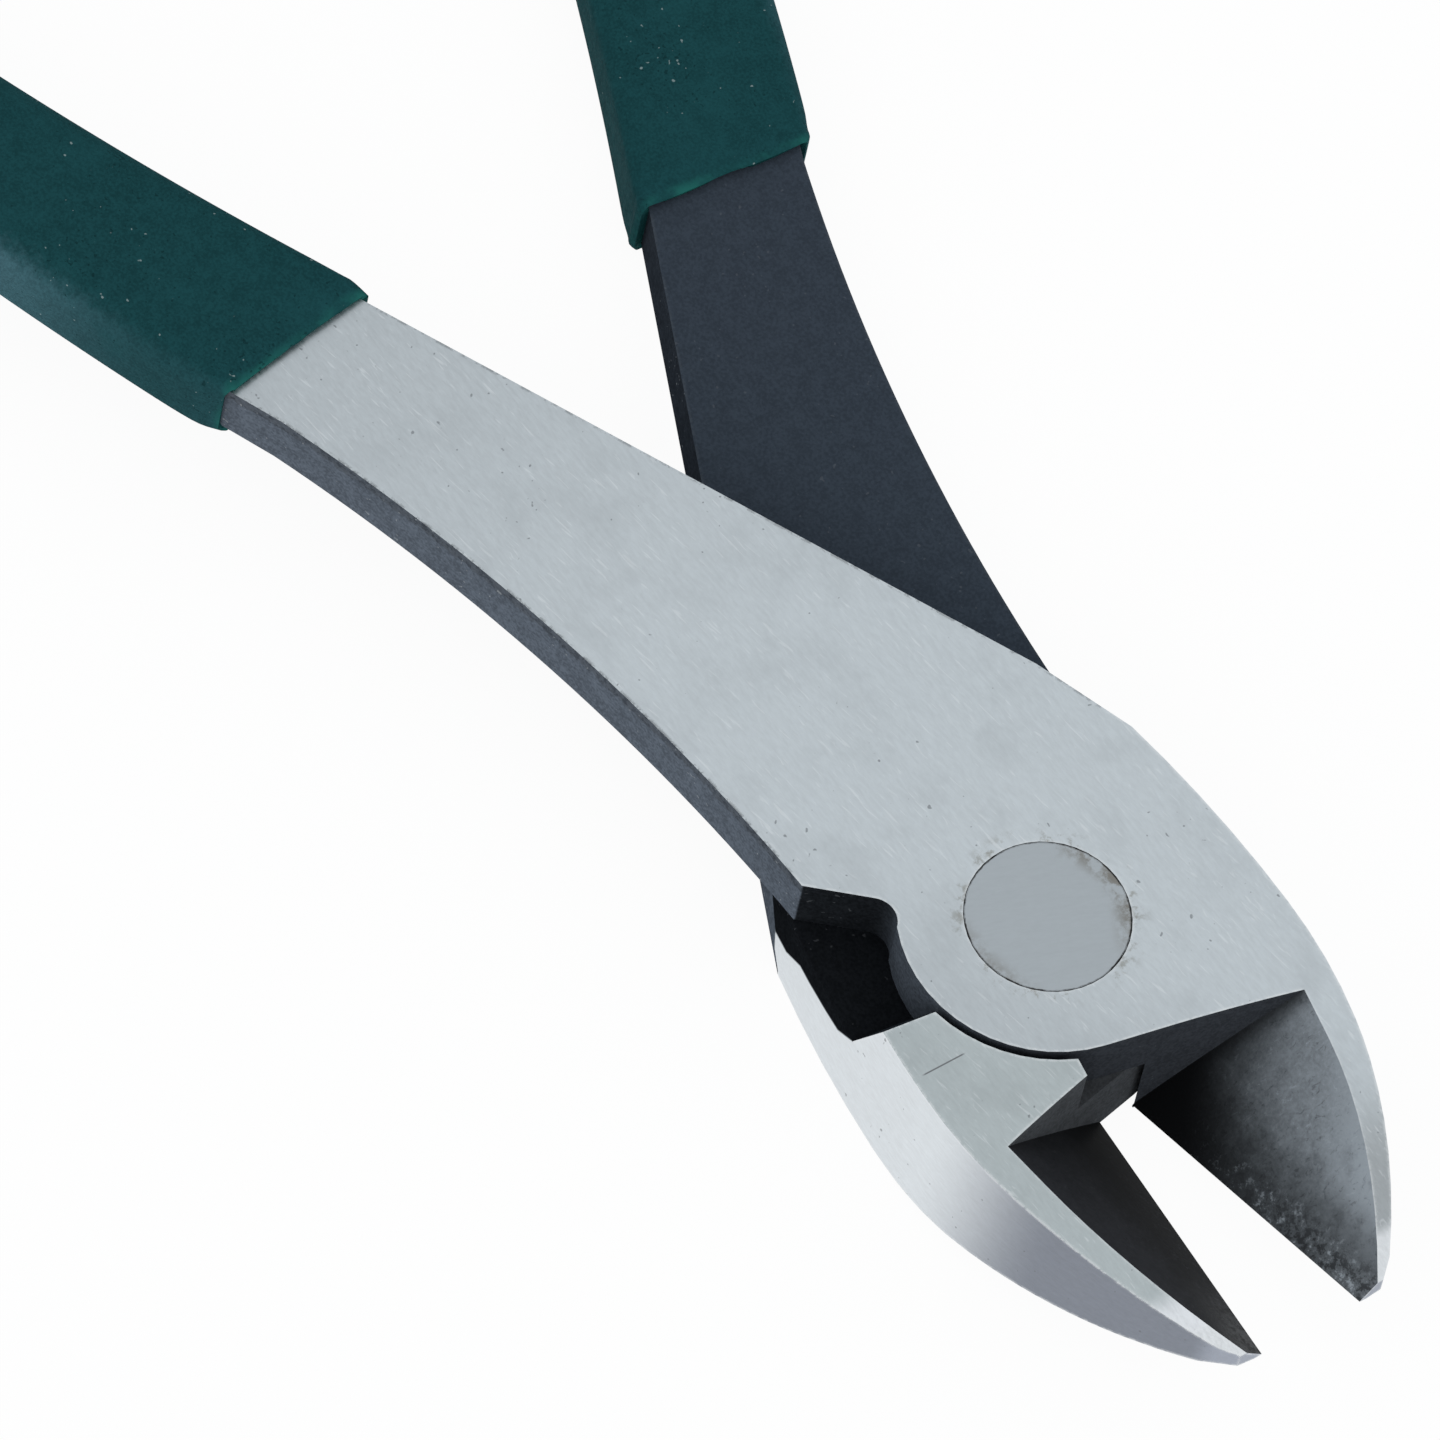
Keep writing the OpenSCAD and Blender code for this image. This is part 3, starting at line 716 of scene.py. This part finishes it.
def vinyl_material(name, across, outward, dip):
    """Dipped vinyl: matt and finely pitted, with pale dust, painted light on its outer side, and lighter
    where it thins out at the lip.
    """
    vinyl = bpy.context.scene.pliers_vinyl
    material, tree, shader, coords = new_material(name)
    here = coords["Object"]
    skin = place_group(tree, shared_group(grainy_skin), Vector=here, Scale=5200.0)
    cloud = noise(tree, here, 240.0, 4.0, 0.6)
    along = measure(tree, here, across)
    # Painted light: the side facing outward, towards the lamp, is made paler, fading out towards the lip
    facing = shift(tree, measure(tree, coords["Normal"], outward), noise(tree, here, 1500.0, 5.0, 0.75), 0.8)
    painted_light = both(tree, span(tree, facing, 0.6, 1.25),
                  span(tree, along, -dip - 24.0 * MM, -dip - 4.0 * MM, 1.0, 0.1))
    colour = vary(tree, skin["Tone"], vinyl.colour, 0.82, 1.18)
    colour = blend(tree, painted_light, colour, vary(tree, skin["Tone"], vinyl.painted_light, 0.85, 1.15))
    colour = blend(tree, span(tree, cloud, 0.45, 0.75, 0.0, 0.3), colour, rgba(vinyl.colour, 1.5))
    thin = span(tree, shift(tree, along, cloud, 1.2 * MM), -dip - 0.1 * MM, -dip + 0.7 * MM)
    frayed = span(tree, noise(tree, here, 330.0, 3.0), 0.42, 0.6, 0.1, 0.8)
    colour = blend(tree, both(tree, thin, frayed), colour, rgba(vinyl.lip))
    dust = place_group(tree, shared_group(specks), Vector=here, Scale=2300.0, Share=0.205)["Mask"]
    colour = blend(tree, both(tree, dust, 0.5), colour, rgba(DUST))
    pits = place_group(tree, shared_group(specks), Vector=here, Scale=3300.0, Share=0.31)["Mask"]
    colour = blend(tree, both(tree, pits, 0.6), colour, rgba(vinyl.colour, 0.4))
    bump = add_node(tree, "ShaderNodeBump", {"Distance": 0.07 * MM, "Height": skin["Height"]})
    feed(tree, shader.inputs["Base Color"], colour)
    feed(tree, shader.inputs["Roughness"], level(tree, skin["Tone"], 0.8, 0.7))
    feed(tree, shader.inputs["Normal"], bump.outputs[0])
    shader.inputs["Specular IOR Level"].default_value = 0.02
    return material


def dress(node_name, material):
    """Gives a solid from the frame its finish."""
    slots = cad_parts[node_name].material_slots
    for slot in slots:
        slot.material = material


def select_edges(piece, wanted):
    """Selects the edges whose two ends pass a test, and nothing else."""
    bpy.ops.object.mode_set(mode="EDIT")
    bpy.ops.mesh.select_mode(type="EDGE")
    bpy.ops.mesh.select_all(action="DESELECT")
    bpy.ops.object.mode_set(mode="OBJECT")
    mesh = piece.data
    for edge in mesh.edges:
        edge.select = all(wanted(mesh.vertices[i].co) for i in edge.vertices)
    bpy.ops.object.mode_set(mode="EDIT")


def near(value, target):
    """Whether two places agree."""
    return abs(value - target) < SAME


def apply_modifier(piece, kind, **settings):
    """Adds a modifier and applies it."""
    modifier = piece.modifiers.new(kind.title(), kind)
    for name, value in settings.items():
        setattr(modifier, name, value)
    bpy.ops.object.modifier_apply(modifier=modifier.name)


def merge_all():
    """Joins the vertices that lie on one another."""
    bpy.ops.mesh.select_all(action="SELECT")
    bpy.ops.mesh.remove_doubles(threshold=MERGE)


def reshape_corners(piece, place, wide, tall, now, then):
    """Flattens or sharpens the four rounded corners of the section at a place along the grip."""
    inner_y = wide - now[0] - 2 * SAME
    inner_z = tall - now[1] - 2 * SAME
    for side_y in (-1.0, 1.0):
        for side_z in (-1.0, 1.0):
            select_edges(piece, lambda co: (
                near(co.x, place) and side_y * co.y > inner_y and side_z * co.z > inner_z))
            bpy.ops.transform.resize(value=(1.0, then[0] / now[0], then[1] / now[1]),
                                     center_override=(place, side_y * wide, side_z * tall))


def half_width(length):
    """Half the handle's width at a length from the start of its curve."""
    return (BAR_W + (BAR_END_W - BAR_W) * min(length / TAPER_L, 1.0)) / 2


def draw_end(name, place, wide, tall):
    """Section across the grip where its round end begins, spun into that end and closed above and below."""
    vinyl = bpy.context.scene.pliers_vinyl
    bpy.ops.object.select_all(action="DESELECT")
    bpy.ops.mesh.primitive_plane_add(size=1.0, rotation=(0.0, math.pi / 2, 0.0))
    piece = bpy.context.object
    piece.name = name
    piece.data.name = name
    bpy.ops.object.transform_apply(location=False, rotation=True, scale=False)
    bpy.ops.object.mode_set(mode="EDIT")
    bpy.ops.mesh.select_all(action="SELECT")
    bpy.ops.transform.resize(value=(1.0, 2 * wide, 2 * tall))
    bpy.ops.transform.translate(value=(place, 0.0, 0.0))
    bpy.ops.mesh.bevel(affect="VERTICES", offset=vinyl.edge_drop, segments=EDGE_STEPS)
    bpy.ops.mesh.select_all(action="SELECT")
    bpy.ops.mesh.delete(type="ONLY_FACE")
    reshape_corners(piece, place, wide, tall, (vinyl.edge_drop, vinyl.edge_drop),
                    (vinyl.shoulder, vinyl.edge_drop))
    select_edges(piece, lambda co: near(abs(co.z), tall))
    bpy.ops.mesh.subdivide(number_cuts=FACE_CUTS)

    select_edges(piece, lambda co: co.y > wide - vinyl.shoulder - MERGE)
    bpy.ops.mesh.spin(steps=END_STEPS, angle=math.pi, center=(place, 0.0, 0.0), axis=(0.0, 0.0, 1.0))
    merge_all()
    for face_z in (-tall, tall):
        select_edges(piece, lambda co: near(co.z, face_z))
        bpy.ops.mesh.edge_face_add()
    return piece


def draw_body(piece, place, tall):
    """Straight body from the round end on, wider towards the joint, with edges that sharpen at the lip."""
    vinyl = bpy.context.scene.pliers_vinyl
    full = (vinyl.shoulder, vinyl.edge_drop)
    even_part = [place - (place - TAPER_L) * i / BODY_STEPS for i in range(1, BODY_STEPS + 1)]
    lip_part = [TAPER_L - (TAPER_L + GRIP_LEAD) * i / TAPER_STEPS for i in range(1, TAPER_STEPS + 1)]
    reach = place
    corner = full
    for length in even_part + lip_part:
        select_edges(piece, lambda co: near(co.x, reach))
        bpy.ops.mesh.extrude_edges_move(TRANSFORM_OT_translate={"value": (length - reach, 0.0, 0.0)})
        growth = (half_width(length) + COAT) / (half_width(reach) + COAT)
        bpy.ops.transform.resize(value=(1.0, growth, 1.0))
        reach = length
        if length < TAPER_L:
            now = (corner[0] * growth, corner[1])
            share = min(max(length / TAPER_L, 0.0), 1.0)
            corner = tuple(vinyl.lip_edge + (radius - vinyl.lip_edge) * share for radius in full)
            reshape_corners(piece, reach, half_width(length) + COAT, tall, now, corner)
    merge_all()
    bpy.ops.object.mode_set(mode="OBJECT")


def put_on_handle(piece, length, middle_z, turn, side):
    """Bends a straight grip to the handle's curve and puts it over the handle."""
    apply_modifier(piece, "SIMPLE_DEFORM", deform_method="BEND", deform_axis="Z", angle=-length / HANDLE_R)
    piece.matrix_world = (
        Matrix.Rotation(turn, 4, "Z") @ Matrix.Diagonal((1.0, side, 1.0, 1.0))
        @ Matrix.Translation(BEND + Vector((0.0, 0.0, middle_z)))
        @ Matrix.Rotation(math.pi + SPLAY, 4, "Z"))
    bpy.ops.object.transform_apply(location=True, rotation=True, scale=True)


def cut_lip(piece, across, dip):
    """Cuts a grip at the dip line, with a thin and slightly uneven lip."""
    vinyl = bpy.context.scene.pliers_vinyl
    bpy.ops.object.mode_set(mode="EDIT")
    bpy.ops.mesh.select_all(action="SELECT")
    bpy.ops.mesh.normals_make_consistent(inside=False)
    for set_back, share in LIP_CUTS:
        bpy.ops.mesh.select_all(action="SELECT")
        bpy.ops.mesh.bisect(
            plane_co=-(dip + set_back) * across, plane_no=across, clear_outer=set_back == 0.0)
        bpy.ops.transform.shrink_fatten(value=-vinyl.lip_thinning * share)
    piece.vertex_groups.new(name="lip")
    bpy.ops.object.vertex_group_assign()
    bpy.ops.object.mode_set(mode="OBJECT")
    ripple = bpy.data.textures.new("Lip ripple", "CLOUDS")
    ripple.cloud_type = "COLOR"
    ripple.noise_scale = RIPPLE_SIZE
    apply_modifier(piece, "DISPLACE", texture=ripple, texture_coords="LOCAL", direction="RGB_TO_XYZ",
                   strength=RIPPLE_SWING * vinyl.lip_unevenness, mid_level=0.5, vertex_group="lip")
    bpy.ops.object.vertex_group_remove(all=True)
    bpy.data.textures.remove(ripple)


def model_grip(name, node_name, turn, side, across, dip):
    """Coat over one handle: drawn out straight, bent to the handle's curve and cut at the dip line."""
    low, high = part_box(node_name)
    tall = (high.z - low.z) / 2
    wide = half_width(HANDLE_L) + COAT
    place = HANDLE_L - half_width(HANDLE_L)
    piece = draw_end(name, place, wide, tall)
    draw_body(piece, place, tall)
    put_on_handle(piece, place + wide + GRIP_LEAD, (low.z + high.z) / 2, turn, side)
    cut_lip(piece, across, dip)
    return piece


def finish_grip(piece):
    """Gives the coat its smooth skin, its thickness and its rounded lip."""
    vinyl = bpy.context.scene.pliers_vinyl
    apply_modifier(piece, "SUBSURF", levels=1, render_levels=1, boundary_smooth="PRESERVE_CORNERS")
    apply_modifier(piece, "SOLIDIFY", thickness=vinyl.wall, offset=-1.0, use_rim=True)
    apply_modifier(piece, "BEVEL", width=vinyl.lip_radius, segments=3, limit_method="ANGLE",
                   angle_limit=math.radians(50.0))
    bpy.ops.object.shade_smooth()


def floor_material(name, white):
    """Floor: plain white to the eye and to reflections, with the shadow of the tool left on it."""
    material, tree, shader, _ = new_material(name)
    shader.inputs["Base Color"].default_value = rgba(FLOOR_GREY)
    shader.inputs["Roughness"].default_value = 0.9
    shader.inputs["Specular IOR Level"].default_value = 0.1
    path = tree.nodes.new("ShaderNodeLightPath").outputs
    seen = either(tree, path["Is Camera Ray"], path["Is Glossy Ray"], path["Is Transmission Ray"])
    glow = add_node(tree, "ShaderNodeEmission", {"Color": (1.0, 1.0, 1.0, 1.0), "Strength": 1.0})
    mixed = add_node(tree, "ShaderNodeMixShader", {
        0: both(tree, seen, white), 1: shader.outputs[0], 2: glow.outputs[0]})
    output = next(n for n in tree.nodes if n.type == "OUTPUT_MATERIAL")
    tree.links.new(mixed.outputs[0], output.inputs["Surface"])
    return material


def light_room(scene, stage):
    """Even soft light from all round, a little weaker towards the horizon."""
    world = bpy.data.worlds.new("Studio")
    scene.world = world
    world.use_nodes = True
    tree = world.node_tree
    way = tree.nodes.new("ShaderNodeTexCoord").outputs["Generated"]
    rise = add_node(tree, "ShaderNodeSeparateXYZ", {0: way}).outputs["Z"]
    background = tree.nodes["Background"]
    background.inputs["Color"].default_value = rgba(ROOM_TINT)
    feed(tree, background.inputs["Strength"], span(tree, rise, 0.0, 0.75, stage.horizon, stage.sky))


class PLIERS_OT_stage(bpy.types.Operator):
    """Floor, room light, lamp and camera"""
    bl_idname = "pliers.stage"
    bl_label = "Set the Studio"

    def execute(self, context):
        stage = context.scene.pliers_stage
        bpy.ops.object.select_all(action="DESELECT")
        bpy.ops.mesh.primitive_plane_add(size=stage.floor_size, location=(0.0, 0.0, -FLOOR_DROP))
        floor = context.object
        floor.name = "studio_floor"
        floor.data.materials.append(floor_material("White floor", stage.floor_white))

        light_room(context.scene, stage)
        bpy.ops.object.select_all(action="DESELECT")
        bpy.ops.object.light_add(type="AREA", location=LAMP_PLACE)
        lamp = context.object
        lamp.name = "side_lamp"
        lamp.rotation_euler = LAMP_PLACE.to_track_quat("Z", "Y").to_euler()
        lamp.data.energy = stage.lamp_power
        lamp.data.shape = "RECTANGLE"
        lamp.data.size = LAMP_WIDTH
        lamp.data.size_y = LAMP_HEIGHT

        camera = bpy.data.objects.new("camera", bpy.data.cameras.new("camera"))
        context.scene.collection.objects.link(camera)
        back = CAMERA_RIGHT.cross(CAMERA_UP).normalized()
        turn = Matrix((CAMERA_RIGHT.normalized(), CAMERA_UP.normalized(), back)).transposed().to_4x4()
        camera.matrix_world = Matrix.Translation(CAMERA_AIM + back * CAMERA_DISTANCE) @ turn
        camera.data.lens = CAMERA_LENS
        camera.data.sensor_width = CAMERA_SENSOR
        camera.data.clip_start, camera.data.clip_end = CAMERA_CLIP
        context.scene.camera = camera
        context.scene.view_settings.view_transform = "Standard"
        return {"FINISHED"}


class PLIERS_OT_halves(bpy.types.Operator):
    """Finish of the two forged halves"""
    bl_idname = "pliers.halves"
    bl_label = "Finish the Halves"

    def execute(self, context):
        steel = context.scene.pliers_steel
        dress("front_half", steel_material(
            "Front half steel", steel.front_ground, steel.front_nose, steel.front_wall, steel.front_throat,
            steel.front_hollow, FRONT_FINISH))
        dress("back_half", steel_material(
            "Back half steel", steel.back_ground, steel.back_nose, steel.back_wall, steel.back_throat,
            steel.back_hollow, BACK_FINISH))
        return {"FINISHED"}


class PLIERS_OT_rivet(bpy.types.Operator):
    """Finish of the rivet"""
    bl_idname = "pliers.rivet"
    bl_label = "Finish the Rivet"

    def execute(self, context):
        dress("pivot_rivet", rivet_material("Rivet steel"))
        return {"FINISHED"}


class PLIERS_OT_grips(bpy.types.Operator):
    """Two dipped grips"""
    bl_idname = "pliers.grips"
    bl_label = "Model the Grips"

    def execute(self, context):
        for body, turn, side, dip in (
                ("front", FRONT_TURN, 1.0, FRONT_DIP), ("back", BACK_TURN, -1.0, BACK_DIP)):
            across = Matrix.Rotation(turn, 3, "Z") @ Vector((1.0, 0.0, 0.0))
            outward = Matrix.Rotation(turn, 3, "Z") @ Vector((0.0, -side, 0.0))
            piece = model_grip(f"{body}_dipped_grip", f"{body}_grip", turn, side, across, dip)
            finish_grip(piece)
            piece.data.materials.append(vinyl_material(f"Dipped vinyl {body}", across, outward, dip))
            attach(piece, body)
            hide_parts(f"{body}_grip")
        return {"FINISHED"}


class PLIERS_PT_panel(bpy.types.Panel):
    """Steps of the build, in order"""
    bl_idname = "PLIERS_PT_panel"
    bl_label = "Pliers"
    bl_space_type = "VIEW_3D"
    bl_region_type = "UI"
    bl_category = "Pliers"

    def draw(self, context):
        for operator in OPERATORS:
            self.layout.operator(operator.bl_idname)
        for group in ("pliers_steel", "pliers_vinyl", "pliers_stage"):
            settings = getattr(context.scene, group)
            box = self.layout.box()
            for name in settings.bl_rna.properties.keys():
                if name not in ("rna_type", "name"):
                    box.prop(settings, name)


SETTINGS = (("pliers_steel", SteelSettings), ("pliers_vinyl", VinylSettings), ("pliers_stage", StageSettings))
OPERATORS = (PLIERS_OT_halves, PLIERS_OT_rivet, PLIERS_OT_grips, PLIERS_OT_stage)


def register():
    for name, group in SETTINGS:
        bpy.utils.register_class(group)
        setattr(bpy.types.Scene, name, bpy.props.PointerProperty(type=group))
    for operator in OPERATORS:
        bpy.utils.register_class(operator)
    bpy.utils.register_class(PLIERS_PT_panel)


def unregister():
    bpy.utils.unregister_class(PLIERS_PT_panel)
    for operator in reversed(OPERATORS):
        bpy.utils.unregister_class(operator)
    for name, group in reversed(SETTINGS):
        delattr(bpy.types.Scene, name)
        bpy.utils.unregister_class(group)


def main():
    register()
    bpy.ops.pliers.halves()
    bpy.ops.pliers.rivet()
    bpy.ops.pliers.grips()
    bpy.ops.pliers.stage()


if __name__ == "__main__":
    main()
